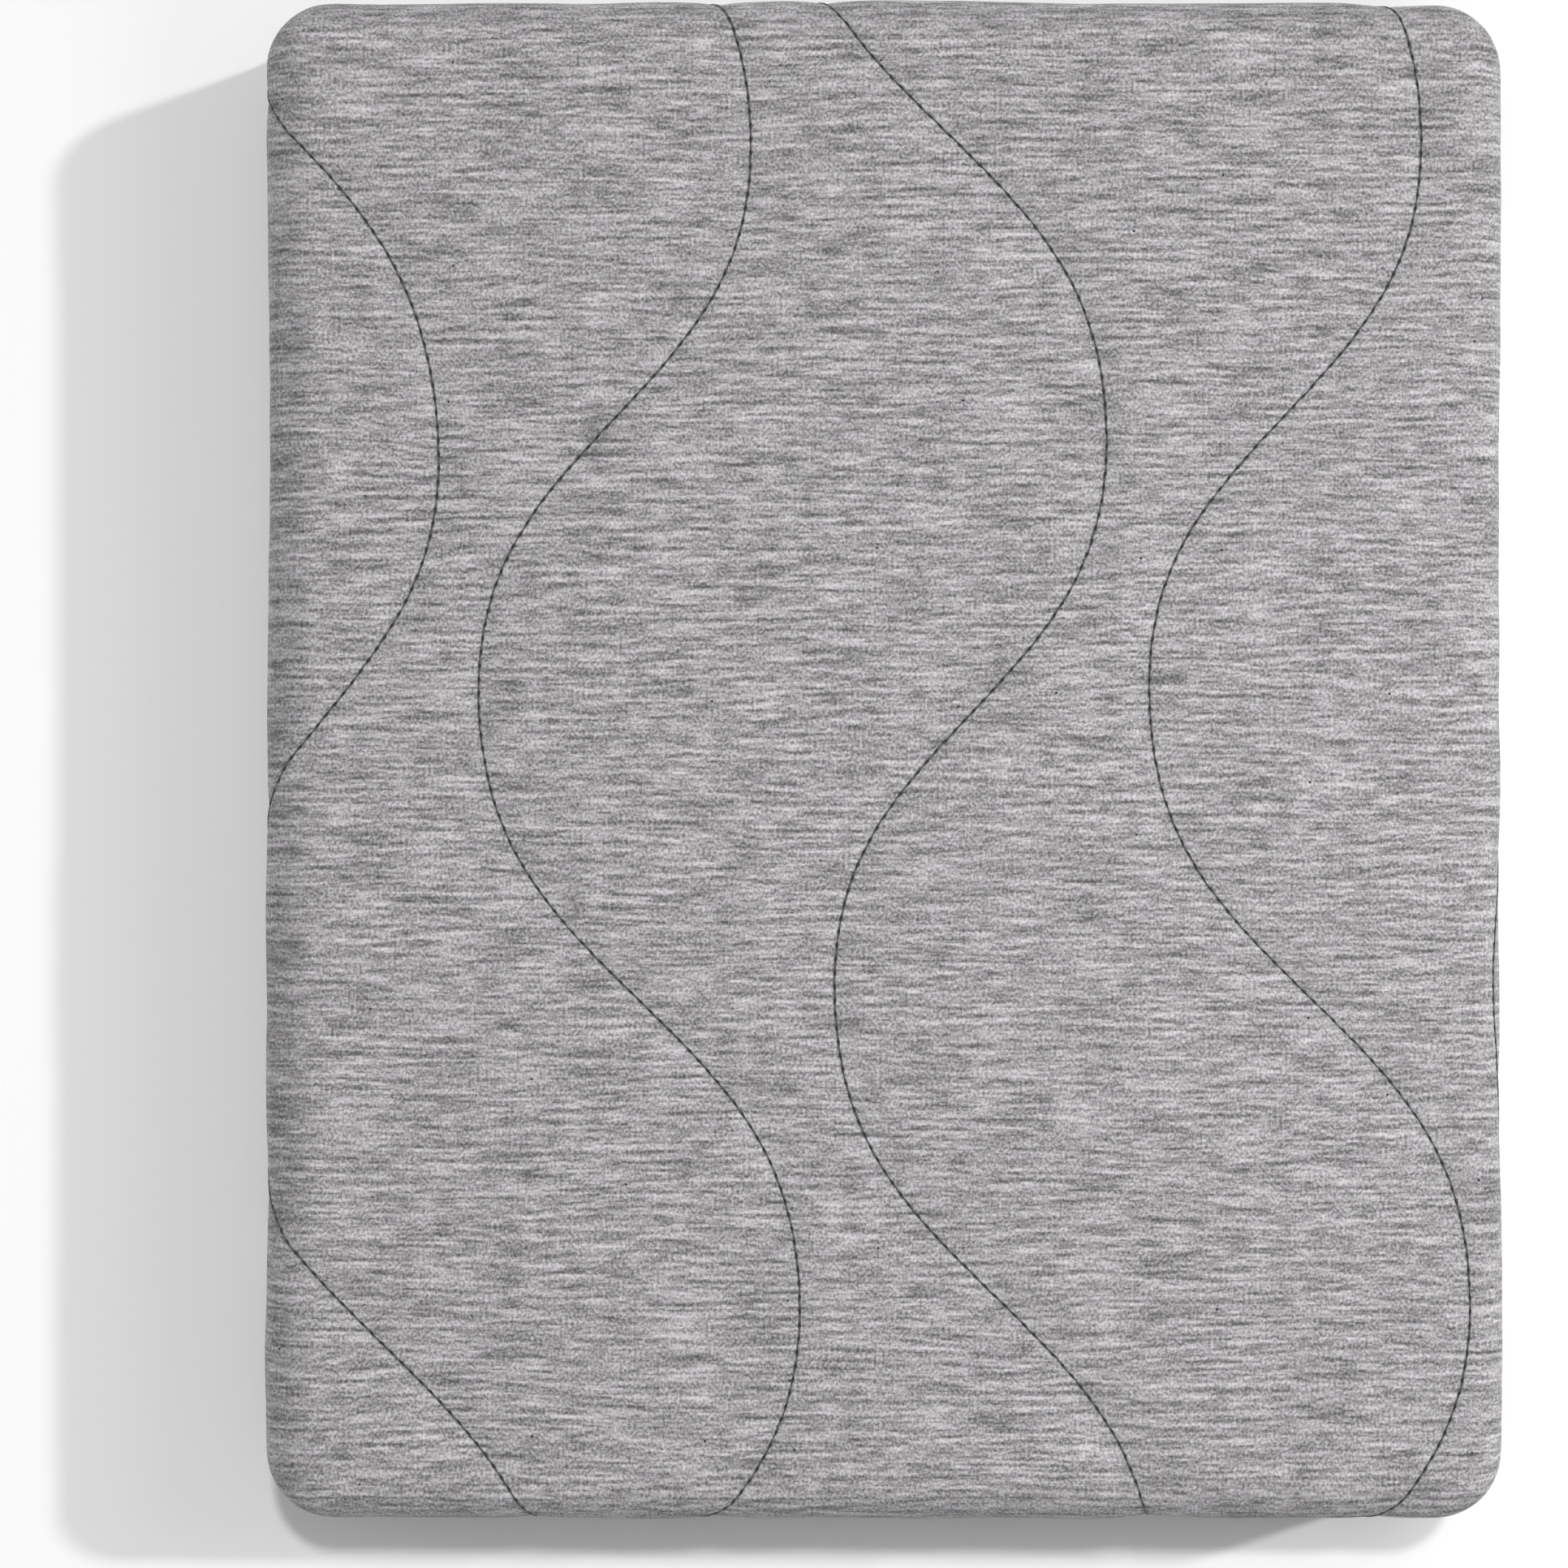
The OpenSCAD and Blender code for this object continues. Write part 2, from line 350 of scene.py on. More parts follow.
def times(tree, *values, clamp=False):
    return maths(tree, "MULTIPLY", *values, clamp=clamp)


def scale_add(tree, value, factor, added, clamp=False):
    return maths(tree, "MULTIPLY_ADD", value, factor, added, clamp=clamp)


def split(tree, vector):
    """The three parts of a vector."""
    return node(tree, "SeparateXYZ", {"Vector": vector}).outputs


def scaled(tree, vector, x, y, z=1.0):
    return node(tree, "VectorMath", {0: vector, 1: (x, y, z)}, operation="MULTIPLY").outputs[0]


def noise(tree, vector, detail=2.0, roughness=0.5, scale=1.0):
    made = node(tree, "TexNoise", {"Vector": vector, "Scale": scale, "Detail": detail,
                                   "Roughness": roughness})
    return made.outputs["Fac"]


def place_of(tree, name="fab"):
    return node(tree, "Attribute", attribute_name=name).outputs["Vector"]


def ramp(tree, factor, stops):
    made = node(tree, "ValToRGB", {"Fac": factor})
    elements = made.color_ramp.elements
    while len(elements) < len(stops):
        elements.new(0.5)
    for element, (position, colour) in zip(elements, stops):
        element.position = position
        element.color = (*colour, 1)
    return made.outputs["Color"]


def painted(tree, surface, tone, stops):
    """Colours a surface by a ramp."""
    tree.links.new(ramp(tree, tone, stops), surface.inputs["Base Color"])


def bumped(tree, surface, height, distance, strength=1.0):
    made = node(tree, "Bump", {"Height": height, "Distance": distance, "Strength": strength})
    tree.links.new(made.outputs["Normal"], surface.inputs["Normal"])


def grey(value, tint=(1.0, 1.0, 1.0)):
    return tuple(value * part for part in tint)


LOOP_W = 2.0 * MM  # width of a knit loop
LOOP_H = 1.5 * MM
RIM_BAND = 36 * MM  # half the width of the band of painted shade along the rim
SEAM_SHADE = 3.5 * MM  # how far the painted shade beside the stitching reaches
# Colour of the painted shade beside the stitching and along the rim
SHADE = (0.08, 0.08, 0.085, 1)


def centred(tree, factor):
    """A noise with its middle moved to 0."""
    return maths(tree, "SUBTRACT", factor, 0.5)


def mixed(tree, factor, colour, other, **settings):
    made = node(tree, "MixRGB", {"Fac": factor, "Color1": colour, "Color2": other}, **settings)
    return made.outputs[0]


def heather_material():
    """Marled grey knit: long light and dark streaks along the rows, with fine flecks.

    Noise scales are features per metre, along the rows and across them.
    """
    material, tree, surface = new_material(
        "heather_knit", 0.88, Sheen_Weight=0.12, Sheen_Roughness=0.5, Specular_IOR_Level=0.25
    )
    place = place_of(tree)
    drift = noise(tree, scaled(tree, place, 2.4, 5), 1.5)
    drift = times(tree, centred(tree, drift), 0.024)
    rows = node(tree, "CombineXYZ", {"Y": drift}).outputs[0]
    rows = node(tree, "VectorMath", {0: place, 1: rows}, operation="ADD").outputs[0]
    long_streak = noise(tree, scaled(tree, rows, 9.5, 140), 1)
    short_streak = noise(tree, scaled(tree, rows, 36, 175), 1)
    fleck = noise(tree, scaled(tree, rows, 270, 250), 1.5, 0.6)
    cloud = noise(tree, scaled(tree, rows, 7, 30), 3)
    total = times(tree, centred(tree, long_streak), 1.08)
    for part, share in ((short_streak, 0.9), (fleck, 1.6), (cloud, 0.18)):
        total = scale_add(tree, centred(tree, part), share, total)
    loops = knit_loops(tree, rows)
    total = scale_add(tree, loops, 0.07, maths(tree, "ADD", total, 0.5))
    tint = (1.0, 0.97, 1.0)
    tones = ((0.0, 0.09), (0.3, 0.205), (0.5, 0.315), (0.7, 0.445), (1.0, 0.62))
    colour = ramp(tree, total, [(position, grey(tone, tint)) for position, tone in tones])
    # A few rows have a slightly warm yarn
    warm = noise(tree, scaled(tree, rows, 70, 330), 2)
    warm = times(tree, maths(tree, "SUBTRACT", warm, 0.60), 3.0, clamp=True)
    colour = mixed(tree, warm, colour, (0.50, 0.43, 0.41, 1), blend_type="SOFT_LIGHT")
    # Lint: a few tiny dark specks
    speck = node(tree, "TexVoronoi", {"Vector": scaled(tree, place, 9, 9), "Scale": 1.0},
                 voronoi_dimensions="2D")
    chosen = node(tree, "SeparateColor", {"Color": speck.outputs["Color"]}).outputs[0]
    near = maths(tree, "LESS_THAN", speck.outputs["Distance"], 0.015)
    lint = times(tree, near, maths(tree, "GREATER_THAN", chosen, 0.86))
    colour = mixed(tree, lint, colour, (0.03, 0.03, 0.035, 1))
    # Painted shade right beside the stitching, in the valley where the knit is drawn in
    across = maths(tree, "ABSOLUTE", split(tree, place_of(tree, "seam"))[0])
    beside = scale_add(tree, across, -1 / SEAM_SHADE, 1.0, clamp=True)
    colour = mixed(tree, times(tree, beside, 0.22), colour, SHADE)
    # Painted shade along the rim at the ends and the left side
    colour = mixed(tree, times(tree, rim_shade(tree, place), 0.24), colour, SHADE)
    tree.links.new(colour, surface.inputs["Base Color"])
    bumped(tree, surface, scale_add(tree, loops, 0.3, total), 0.6 * MM, 0.4)
    return material


def rim_shade(tree, place):
    """How much painted shade the knit gets along the rim at the ends and the left side, from 0 to 1;
    it stands in for the rolled edges turning from the light.
    """
    parts = split(tree, place)
    ends = maths(tree, "ABSOLUTE", parts[1])
    ends = maths(tree, "SUBTRACT", ends, HALF_L - 0.5 * RIM_BAND)
    left = times(tree, parts[0], -1.0)
    left = maths(tree, "SUBTRACT", left, HALF_W - RIM_BAND)
    off = [times(tree, maths(tree, "ABSOLUTE", part), 1 / RIM_BAND) for part in (ends, left)]
    return maths(tree, "SUBTRACT", 1.0, maths(tree, "MINIMUM", *off), clamp=True)


def knit_loops(tree, place):
    """Rows of small V-shaped loops, as heights between about -1 and 1."""
    parts = split(tree, place)
    column = times(tree, parts[0], 1 / LOOP_W)
    leg = maths(tree, "PINGPONG", column, 0.5)
    rise = times(tree, leg, 1.3)
    row = scale_add(tree, parts[1], 1 / LOOP_H, rise)
    over = maths(tree, "SINE", times(tree, row, 2 * math.pi))
    between = maths(tree, "SINE", times(tree, column, 2 * math.pi))
    between = times(tree, between, between)
    return scale_add(tree, between, 0.9, maths(tree, "SUBTRACT", over, 0.45))


def woven_material(name, dark, light, pitch, roughness=0.85):
    """Plain weave: over and under threads of the given pitch, with uneven yarn."""
    material, tree, surface = new_material(name, roughness)
    vector = place_of(tree)
    parts = split(tree, vector)
    turn = math.pi / pitch
    warp = maths(tree, "SINE", times(tree, parts[0], turn))
    weft = maths(tree, "SINE", times(tree, parts[1], turn))
    over = times(tree, warp, weft)
    yarn = noise(tree, scaled(tree, vector, 0.35 / pitch, 0.08 / pitch), 3)
    tone = scale_add(tree, over, 0.22, yarn)
    painted(tree, surface, tone, [(0.2, dark), (0.8, light)])
    bumped(tree, surface, over, 0.3 * MM, 0.6)
    return material


def foam_material(name, low, high, cell):
    """Open-cell foam with pores of the given size and a cut surface."""
    material, tree, surface = new_material(name, 0.95, Specular_IOR_Level=0.2,
                                           Subsurface_Weight=0.1, Subsurface_Scale=0.01)
    place = node(tree, "TexCoord").outputs["Object"]
    pores = node(tree, "TexVoronoi", {"Vector": place, "Scale": 1 / cell}).outputs["Distance"]
    patch = times(tree, noise(tree, place, 4, 0.6, 9), 0.6)
    tone = scale_add(tree, pores, 0.5, patch)
    painted(tree, surface, tone, [(0.2, low), (0.75, high)])
    bumped(tree, surface, pores, cell * 0.4, 0.5)
    return material


def metal_material(name, shade, roughness):
    """Plated metal with fine brush marks along X."""
    material, tree, surface = new_material(name, roughness, Metallic=1.0)
    place = node(tree, "TexCoord").outputs["Object"]
    brush = noise(tree, scaled(tree, place, 300, 2500, 2500), 3)
    painted(tree, surface, brush, [(0.25, grey(shade * 0.8)), (0.75, grey(shade))])
    rough = scale_add(tree, brush, 0.25, roughness - 0.1)
    tree.links.new(rough, surface.inputs["Roughness"])
    bumped(tree, surface, brush, 0.05 * MM, 0.4)
    return material


TWIST = 2.1 * MM  # one turn of the thread's plies


def thread_material():
    """Twisted polyester thread, darkened by painted shade where it goes into the cloth.

    Its attribute "run" holds the length along the thread, the angle round it and its dip, which sets
    the painted shade.
    """
    material, tree, surface = new_material("quilt_thread", 0.6, Sheen_Weight=0.2)
    run = split(tree, place_of(tree, "run"))
    twist = scale_add(tree, run[0], 2 * math.pi / TWIST, run[1])
    twist = maths(tree, "SINE", twist)
    # The dip darkens the thread with painted shade where it goes into the cloth
    tone = scale_add(tree, twist, 0.12, run[2])
    painted(tree, surface, tone, [(0.0, grey(0.075, (1.0, 1.0, 1.08))), (0.45, grey(0.012)),
                                  (1.0, grey(0.003))])
    bumped(tree, surface, twist, 0.3 * MM, 0.6)
    return material


# ---------------------------------------------------------------- quilted cover

COVER_CELLS = (108, 132)  # coarse cells across and along the top; halved once later
COVER_ROWS = (4, 11, 0)  # rings in the rolled edge and down the wall
LOFT = 6 * MM  # how far the fill pushes the knit out between the stitches
CROWN = 4.5 * MM  # how far the top falls off towards its edges
CROWN_REACH = 55 * MM
HEM_REACH = 45 * MM  # how far up the wall the hem keeps it straight
SEAM_REACH = 26 * MM  # how fast the loft comes back beside a line
PUFF_FRAMES = 20
SEAM_PIN = 11 * MM  # about half the width of the strip that the stitches hold


def cover_base():
    """The coarse knit cover, lower than the finished one by the fill's loft."""
    verts, faces, places, last = slab_mesh(LOFT, HEM_TOP, KNIT_TOP - LOFT, EDGE_R - 0.5 * LOFT, 0,
                                           COVER_CELLS, COVER_ROWS, closed=False)
    obj = new_object("knit_cover_cloth", verts, faces)
    set_vectors(obj, "fab", places)
    return obj, last


def puff(obj, last):
    """Inflates the panels between the quilting lines by cloth simulation.

    Gives how far each point moves. The stitched strips and the last ring are pinned.
    """
    base = get_points(obj.data)
    pinned = np.clip(1.4 - from_seam(obj) / SEAM_PIN, 0, 1)
    pinned[last] = 1
    group = obj.vertex_groups.new(name="pin")
    for weight in np.unique(np.round(pinned, 1)):
        if weight > 0:
            chosen = np.nonzero(np.round(pinned, 1) == weight)[0].tolist()
            group.add(chosen, float(weight), "REPLACE")
    cloth = obj.modifiers.new("puff", "CLOTH")
    settings = cloth.settings
    settings.quality = 4
    settings.mass = 0.25
    settings.tension_stiffness = 25
    settings.compression_stiffness = 6
    settings.shear_stiffness = 8
    settings.bending_stiffness = 0.6
    settings.vertex_group_mass = "pin"
    settings.pin_stiffness = 1
    settings.use_pressure = True
    settings.uniform_pressure_force = 4
    settings.effector_weights.gravity = 0
    cloth.collision_settings.use_collision = False
    cloth.collision_settings.use_self_collision = False
    scene = bpy.context.scene
    for step in range(1, PUFF_FRAMES + 1):
        scene.frame_set(step)
    graph = bpy.context.evaluated_depsgraph_get()
    swollen = get_points(obj.evaluated_get(graph).data)
    obj.modifiers.clear()
    scene.frame_set(1)
    return swollen - base


def from_seam(obj):
    """Distance of each of a mesh's points from the nearest quilting line."""
    place = get_vectors(obj.data, "fab")
    return np.abs(seam_distance(place[:, 0], place[:, 1]))


def soft_cap(length, cap):
    return cap * (1 - np.exp(-length / cap))


def shape_cover():
    """The finished knit, and the coarse surface of the fill under it."""
    obj, last = cover_base()
    base = get_points(obj.data)
    normals = get_normals(obj.data)
    distance = from_seam(obj)
    move = puff(obj, last)
    size = np.linalg.norm(move, axis=1, keepdims=True)
    rise = 1 - np.exp(-(distance / SEAM_REACH) ** 1.1)
    limited = move / np.maximum(size, 1e-9) * soft_cap(size, 1.35 * LOFT)
    lofted = normals * (LOFT * rise[:, None])
    points = base + 0.5 * limited * rise[:, None] + 0.62 * lofted
    straight = base + 0.9 * LOFT * normals
    hold = np.exp(-((base[:, 2] - HEM_TOP) / HEM_REACH) ** 2)
    points += hold[:, None] * (straight - points)
    inside = np.minimum(HALF_W - np.abs(points[:, 0]), HALF_L - np.abs(points[:, 1]))
    fall = np.exp(-(inside / CROWN_REACH) ** 2) * np.clip(normals[:, 2], 0, 1)
    points[:, 2] -= CROWN * rise * fall
    points[:, :2] += side_drift(points)
    # The knit stays clear of the backing, and the fill fits between the two
    backing = cover_shape(*BACKING)[0]
    room = np.sum((points - backing) * normals, axis=1)
    points += normals * np.maximum(4 * MM - room, 0)[:, None]
    set_points(obj.data, points)
    normals = get_normals(obj.data)
    room = np.sum((points - backing) * normals, axis=1)
    depth = np.minimum(2.8 * MM + 2.6 * MM * np.exp(-distance / (22 * MM)), room - 0.5 * MM)
    under = points - normals * depth[:, None]
    smooth = obj.modifiers.new("fine", "SUBSURF")
    smooth.levels = 1
    smooth.render_levels = 1
    applied(obj)
    # Finer now: the valleys along the stitching and a slight unevenness
    mesh = obj.data
    s, t = get_vectors(mesh, "fab")[:, :2].T
    signed = seam_distance(s, t)
    points = get_points(mesh)
    normals = get_normals(mesh)
    on_top = np.clip((normals[:, 2] - 0.2) / 0.6, 0, 1)
    depth = (1.6 + 0.9 * (1 - on_top)) * MM
    valley = -depth * np.exp(-np.abs(signed) / (9 * MM))
    uneven = 0.7 * MM * ripple(s, t, 0.33, 3) + 0.35 * MM * ripple(s, t, 0.12, 5)
    uneven += 0.5 * MM * (1 - on_top) * ripple(s, t, 0.21, 8)
    uneven = np.maximum(uneven, -1.2 * MM)
    set_points(mesh, points + normals * (valley + uneven)[:, None])
    set_vectors(obj, "seam", np.column_stack([signed, t]))
    mesh.polygons.foreach_set("use_smooth", np.ones(len(mesh.polygons), bool))
    return obj, under


def side_drift(points):
    """Slow bow of the sides: a waist on the left, and at the head a full middle and slack corner.

    It fades out above the hem, which holds the cover straight.
    """
    x, y, z = points.T
    left = np.clip(-x / HALF_W, 0, 1) ** 8
    head = np.clip(y / HALF_L, 0, 1) ** 8
    waist = left * (5 * MM * np.exp(-((y - 0.46) / 0.26) ** 2) - 1.5 * MM)
    full = 4 * MM * head * np.exp(-(x / 0.14) ** 2)
    slack = -4 * MM * head * np.clip((x - 0.60) / 0.06, 0, 1)
    free = np.clip((z - HEM_TOP) / (60 * MM), 0, 1)
    return np.column_stack([waist, full + slack]) * free[:, None]


# ---------------------------------------------------------------- stitches

STITCH = 18 * MM  # length of one stitch
THREAD_R = 1.3 * MM
FINDER_START = 30 * MM  # rays start this far outside the ideal shape
FINDER_REACH = 80 * MM


def surface_finder(obj):
    mesh = obj.data
    return BVHTree.FromPolygons([v.co[:] for v in mesh.vertices],
                                [p.vertices[:] for p in mesh.polygons])


def folded(s, t):
    """Place and outward normal of a fabric point on the cover's ideal shape."""
    corner = CORNER_R - EDGE_R
    q = np.array([abs(s) - (HALF_W - CORNER_R), abs(t) - (HALF_L - CORNER_R)])
    outside = np.maximum(q, 0)
    length = float(np.hypot(*outside))
    over = length - corner if length > 0 else max(q) - corner
    if over <= 0:
        return Vector((s, t, KNIT_TOP)), Vector((0, 0, 1))
    direction = outside / length * np.sign([s, t])
    base = np.array([s, t]) - direction * over
    angle = min(over / EDGE_R, math.pi / 2)
    out = EDGE_R * math.sin(angle)
    drop = EDGE_R * (1 - math.cos(angle)) + over - EDGE_R * angle
    point = (*(base + direction * out), KNIT_TOP - drop)
    normal = (*(direction * math.sin(angle)), math.cos(angle))
    return Vector(point), Vector(normal)


def line_path(line, step):
    """Points of a quilting line at even steps over the whole cover, hem to hem."""
    reach = HALF_L + KNIT_TOP - HEM_TOP - EDGE_R * (2 - math.pi / 2)
    t = np.linspace(-reach, reach, 4000)
    s = wave_x(line, t)
    run = np.concatenate([[0], np.cumsum(np.hypot(np.diff(s), np.diff(t)))])
    marks = np.arange(0, run[-1], step)
    return np.column_stack([np.interp(marks, run, s), np.interp(marks, run, t)])


def on_cover(finder, s, t):
    """Where a fabric point lies on the finished knit, or None past the hem."""
    point, normal = folded(s, t)
    if point.z < HEM_TOP + 1 * MM:
        return None
    hit = finder.ray_cast(point + normal * FINDER_START, -normal, FINDER_REACH)[0]
    return None if hit is None else (hit, normal)


def stitch_mesh(name, line, finder, material):
    """One row of stitches, each a short thread that rises from one hole and dips into the next."""
    slices = 8
    around = 6
    path = line_path(line, STITCH / slices)
    random = np.random.default_rng(40 + line)
    verts, faces, runs = [], [], []
    for first in range(0, len(path) - slices, slices):
        spots = [on_cover(finder, *path[first + k]) for k in range(slices + 1)]
        if None in spots:
            continue
        rings = []
        pull = random.uniform(0.8, 1.1)  # how tight this stitch was pulled
        stray = random.uniform(-0.5, 0.5) * MM
        for k, (hit, normal) in enumerate(spots):
            share = k / slices
            ahead = spots[min(k + 1, slices)][0] - spots[max(k - 1, 0)][0]
            side = ahead.cross(normal).normalized()
            hump = math.sin(math.pi * share) ** 0.7
            middle = hit + normal * (THREAD_R * (0.75 * hump - 0.2)) + side * (stray * hump)
            width = THREAD_R * (1.8 - 1.15 * hump * pull)
            rings.append(range(len(verts), len(verts) + around))
            for a in range(around):
                angle = 2 * math.pi * a / around
                wide = side * (width * math.cos(angle))
                high = normal * (width * 0.8 * math.sin(angle))
                verts.append(middle + wide + high)
                # The third number is the dip, which the thread material turns into painted shade at
                # the holes
                runs.append(((first + k) * STITCH / slices, angle, 1 - hump))
        for one, two in zip(rings, rings[1:]):
            for a in range(around):
                b = (a + 1) % around
                faces.append((one[a], one[b], two[b], two[a]))
        faces.append(tuple(reversed(rings[0])))
        faces.append(tuple(rings[-1]))
    obj = new_object(name, [v[:] for v in verts], faces, material)
    set_vectors(obj, "run", runs)
    return obj


# ---------------------------------------------------------------- bands round the mattress


def outline_at(pitch):
    """The outline, with its points about a pitch apart."""
    return outline(round(2 * HALF_W / pitch), round(2 * HALF_L / pitch))


def sweep(name, profile, material):
    """Sweeps a closed section of (inset, height) points round the outline."""
    centres, normals = outline_at(12 * MM)
    ring = at_inset(centres, normals, profile[0][0])
    edge = np.linalg.norm(np.roll(ring, -1, axis=0) - ring, axis=1)
    run = np.concatenate([[0], np.cumsum(edge)])[:-1]
    count = len(centres)
    verts, places = [], []
    across = 0
    for k, (inset, z) in enumerate(profile):
        if k:
            across += math.dist(profile[k - 1], profile[k])
        here = at_inset(centres, normals, inset)
        verts.append(np.column_stack([here, np.full(count, z)]))
        places.append(np.column_stack([run, np.full(count, across)]))
    faces = []
    rows = len(profile)
    here = np.arange(count)
    after = np.roll(here, -1)
    for one in range(rows):
        two = (one + 1) % rows
        faces.append(np.column_stack([one * count + here, one * count + after,
                                      two * count + after, two * count + here]))
    obj = new_object(name, np.vstack(verts), np.vstack(faces), material)
    set_vectors(obj, "fab", np.vstack(places))
    return obj


def rounded_block(name, source, material, rounding, cells=(56, 68), rows=(4, 5, 4)):
    """Block in the place of a CAD node, with softened edges and slightly wavy faces."""
    low, high = node_box(source)
    verts, faces, places, _ = slab_mesh(HALF_W - high[0], low[2], high[2], rounding[0], rounding[1],
                                        cells, rows, closed=True)
    wave = 0.5 * MM * ripple(places[:, 0], places[:, 1], 0.25, 31)
    middle = (low[2] + high[2]) / 2
    verts[:, 2] += wave * np.sign(middle - verts[:, 2])
    obj = new_object(name, verts, faces, material)
    set_vectors(obj, "fab", places)
    return obj


def shell(name, outer, inner, faces, last, places, material):
    """Closed layer between two surfaces of one topology, bridged along their last ring."""
    count = len(outer)
    bridge = np.column_stack([np.roll(last, -1), last, last + count, np.roll(last, -1) + count])
    obj = new_object(name, np.vstack([outer, inner]),
                     np.vstack([faces, faces[:, ::-1] + count, bridge[:, ::-1]]), material)
    set_vectors(obj, "fab", np.vstack([places, places]))
    return obj


def cover_shape(inset, top):
    """An even inner face of the cover, point for point under the coarse knit."""
    return slab_mesh(inset, HEM_TOP, top, EDGE_R - inset, 0, COVER_CELLS, COVER_ROWS, closed=False)


def ride_as(obj, body, slot, *replaced):
    """Rides a piece on a body and hides the CAD nodes it stands for. Its slot is not used."""
    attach(obj, body)
    if replaced:
        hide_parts(*replaced)
    return obj


def make_cover():
    cover, under = shape_cover()
    cover.data.materials.clear()
    cover.data.materials.append(heather_material())
    ride_as(cover, "cover", "heather_knit", "knit_cover")
    finder = surface_finder(cover)
    thread = thread_material()
    for line in LINES:
        row = stitch_mesh(f"quilt_stitches_{line + 1}", line, finder, thread)
        seen = [f"quilt_thread_{line + 1}"] if line < 4 else []
        ride_as(row, "cover", "quilt_thread", *seen)
    back_in, back_top = BACKING
    back_t = 0.8 * MM
    inner, faces, places, last = cover_shape(back_in, back_top)
    fill = shell("quilt_fill_fibre", under, inner, faces, last, places, fibre_material())
    ride_as(fill, "cover", "fibre_fill", "quilt_fill")
    lining = cover_shape(back_in + back_t, back_top - back_t)[0]
    backing = shell("quilt_backing_cloth", inner, lining, faces, last, places,
                    woven_material("backing_cloth", grey(0.62), grey(0.80), 1.4 * MM))
    ride_as(backing, "cover", "backing_cloth", "quilt_backing")


def fibre_material():
    """White fibre fill with loose tufts."""
    material, tree, surface = new_material("fibre_fill", 0.95, Sheen_Weight=0.3)
    place = node(tree, "TexCoord").outputs["Object"]
    tuft = noise(tree, scaled(tree, place, 120, 120, 120), 5, 0.7)
    painted(tree, surface, tuft, [(0.3, grey(0.72)), (0.7, grey(0.9))])
    bumped(tree, surface, tuft, 2 * MM, 0.7)
    return material


def rounded_section(inset, depth, z0, z1):
    """Section of a cloth band from its outer face inwards, with softly rounded long edges."""
    height = z1 - z0
    soft = min(depth, height) / 4
    return [(inset + soft, z0), (inset, z0 + soft), (inset, z0 + height / 2), (inset, z1 - soft),
            (inset + soft, z1), (inset + depth - soft, z1), (inset + depth, z1 - soft),
            (inset + depth, z0 + soft), (inset + depth - soft, z0)]


def band_like(name, source, material, body, slot):
    """Cloth band in the place of a CAD ring."""
    low, high = node_box(source)
    section = rounded_section(HALF_W - high[0], 0.8 * MM, low[2], high[2])
    obj = sweep(name, section, material)
    ride_as(obj, body, slot, source)
    return obj


def ring_stitches(name, inset, z, material, body):
    """A row of short stitches round the mattress, for hems and tapes."""
    pitch = 6 * MM
    radius = 0.45 * MM
    centres, normals = outline_at(pitch)
    middle = at_inset(centres, normals, inset)
    along = np.column_stack([-normals[:, 1], normals[:, 0]])
    sides = 6
    # Place along the stitch, and centre and width of the thread there, in radii
    levels = ((-0.42, -0.5, 0.6), (-0.25, 0.4, 1.0), (0.25, 0.4, 1.0), (0.42, -0.5, 0.6))
    verts, faces, runs = [], [], []
    for share, out, wide in levels:
        for k in range(sides):
            angle = 2 * math.pi * k / sides
            reach = radius * (out + wide * math.cos(angle))
            spot = middle + along * (share * pitch) + normals * reach
            height = np.full(len(spot), z + radius * wide * math.sin(angle))
            verts.append(np.column_stack([spot, height]))
            # The third number is the dip: painted shade at the thin ends of each stitch, where the
            # thread goes into the cloth
            runs.append(np.tile((share * pitch, angle, 0.5 - 0.5 * wide), (len(spot), 1)))
    count = len(middle)
    here = np.arange(count)
    for level in range(len(levels) - 1):
        for k in range(sides):
            one, two = level * sides + k, level * sides + (k + 1) % sides
            faces.append(np.column_stack([one * count + here, two * count + here,
                                          (two + sides) * count + here, (one + sides) * count + here]))
    obj = new_object(name, np.vstack(verts), np.vstack(faces), material)
    set_vectors(obj, "run", np.vstack(runs))
    return ride_as(obj, body, "quilt_thread")


TOOTH = 3.2 * MM  # pitch of the zipper's coil turns
CHAIN_GAP = (0.676, 0.692)  # in X on the foot side, where the end tab covers the chain's ends
COIL_DEPTH = 2.4 * MM
HEAD_REACH = 1.4 * MM  # how far the heads reach over the middle of the chain


